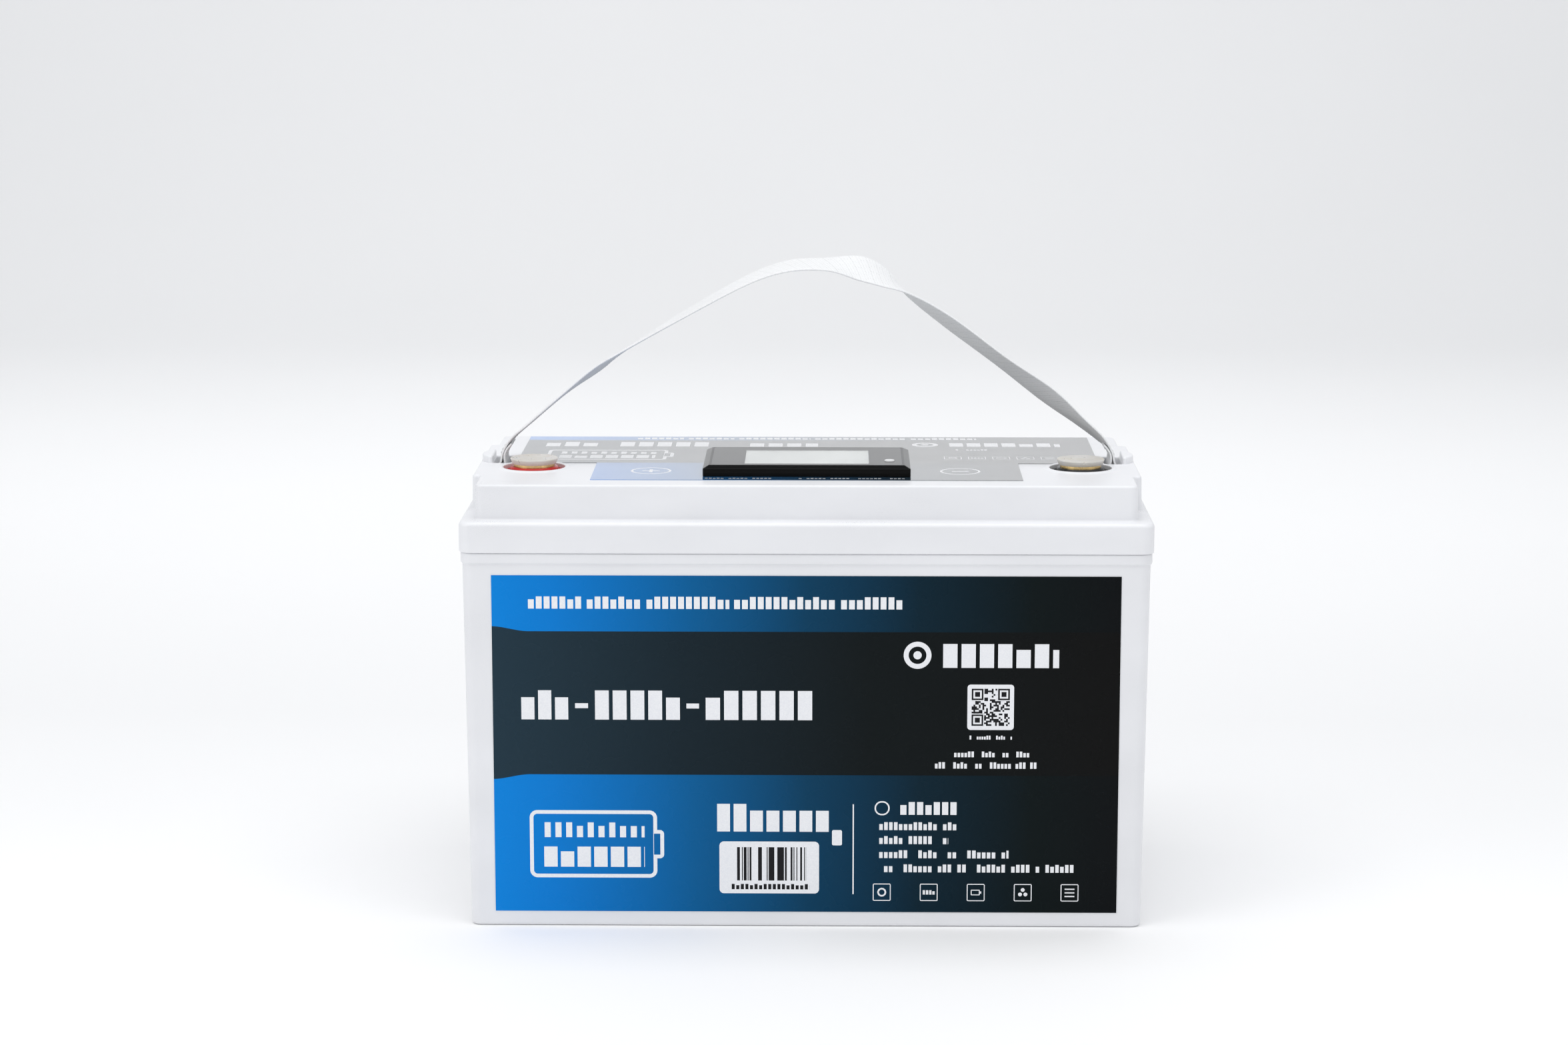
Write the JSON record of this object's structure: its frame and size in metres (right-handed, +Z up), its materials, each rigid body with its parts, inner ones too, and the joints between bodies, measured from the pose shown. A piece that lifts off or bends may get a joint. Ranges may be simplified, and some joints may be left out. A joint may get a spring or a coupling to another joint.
{
  "type": "deep cycle battery",
  "caption": "Boxed deep cycle battery with a stepped lid, webbing carry strap, recessed threaded terminals with pull-off caps, and a raised status display.",
  "frame": {"origin": "middle of the underside", "axes": "+X along the length towards the negative terminal, +Y from the front label to the back, +Z up"},
  "size_m": [0.33, 0.173, 0.3157],
  "materials": {
    "case_white": "satin",
    "lid_white": "satin",
    "label_front": "gloss",
    "label_top": "gloss",
    "bezel_black": "gloss",
    "window_smoke": "gloss",
    "lcd_panel": "satin",
    "circuit_board": "satin",
    "button_white": "satin",
    "cover_black": "matte",
    "zinc_steel": "satin",
    "terminal_brass": "polished",
    "seal_red": "satin",
    "seal_black": "satin",
    "cap_milky": "satin",
    "gasket_rubber": "matte",
    "lid_adhesive": "matte",
    "webbing_white": "matte",
    "cell_blue": "gloss",
    "cell_metal": "satin",
    "copper_nickel": "satin",
    "epoxy_sheet": "matte",
    "band_white": "matte",
    "foam_grey": "matte",
    "tray_green": "satin",
    "chip_black": "satin",
    "sink_silver": "satin",
    "connector_ivory": "satin",
    "lead_red": "satin",
    "lead_black": "satin",
    "lug_tinned": "satin"
  },
  "bodies": {
    "battery": {"case": "case_white", "lid": "lid_white", "lid_seal": "lid_adhesive", "front_label": "label_front", "top_label": "label_top", "display_bezel": "bezel_black", "display_window": "window_smoke", "display_lcd": "lcd_panel", "display_board": "circuit_board", "display_switch": "zinc_steel", "display_back_cover": "cover_black", "display_screws": "zinc_steel", "display_lead": "lead_black", "terminal_positive": "terminal_brass", "terminal_negative": "terminal_brass", "terminal_seal_positive": "seal_red", "terminal_seal_negative": "seal_black", "terminal_gaskets": "gasket_rubber", "terminal_washers": "zinc_steel", "terminal_nuts": "zinc_steel", "terminal_lock_nuts": "zinc_steel", "strap_loop_left": "webbing_white", "strap_loop_right": "webbing_white", "strap_pin_left": "zinc_steel", "strap_pin_right": "zinc_steel", "cell_1": "cell_blue", "cell_2": "cell_blue", "cell_3": "cell_blue", "cell_4": "cell_blue", "cell_terminals": "cell_metal", "cell_vents": "cell_metal", "cell_spacers": "epoxy_sheet", "end_plate_left": "epoxy_sheet", "end_plate_right": "epoxy_sheet", "pack_bands": "band_white", "busbar_1": "copper_nickel", "busbar_2": "copper_nickel", "busbar_3": "copper_nickel", "cell_nuts": "zinc_steel", "foam_base": "foam_grey", "foam_left": "foam_grey", "foam_right": "foam_grey", "foam_strips": "foam_grey", "board_tray": "tray_green", "board_standoffs": "zinc_steel", "protection_board": "circuit_board", "board_transistors": "chip_black", "board_heat_sink": "sink_silver", "board_screws": "zinc_steel", "balance_socket": "connector_ivory", "balance_leads": "lead_red", "cable_positive": "lead_red", "cable_pack_negative": "lead_black", "cable_negative": "lead_black", "cable_lugs": "lug_tinned", "temperature_probe": "lead_black"},
    "strap": {"carry_strap": "webbing_white"},
    "cap_positive": {"terminal_cap_positive": "cap_milky"},
    "cap_negative": {"terminal_cap_negative": "cap_milky"},
    "button": {"display_button": "button_white"}
  },
  "joints": [
    {"name": "strap_swing", "type": "hinge", "parent": "battery", "child": "strap", "pos_m": [0, 0, 0.226], "axis": [1, 0, 0], "range_deg": [-65, 65]},
    {"name": "cap_positive_pull", "type": "slide", "parent": "battery", "child": "cap_positive", "axis": [0, 0, 1], "range_m": [0, 0.04]},
    {"name": "cap_negative_pull", "type": "slide", "parent": "battery", "child": "cap_negative", "axis": [0, 0, 1], "range_m": [0, 0.04]},
    {"name": "button_press", "type": "slide", "parent": "battery", "child": "button", "axis": [0, 0, -1], "range_m": [0, 0.0005], "stiffness_N_per_m": 600}
  ]
}
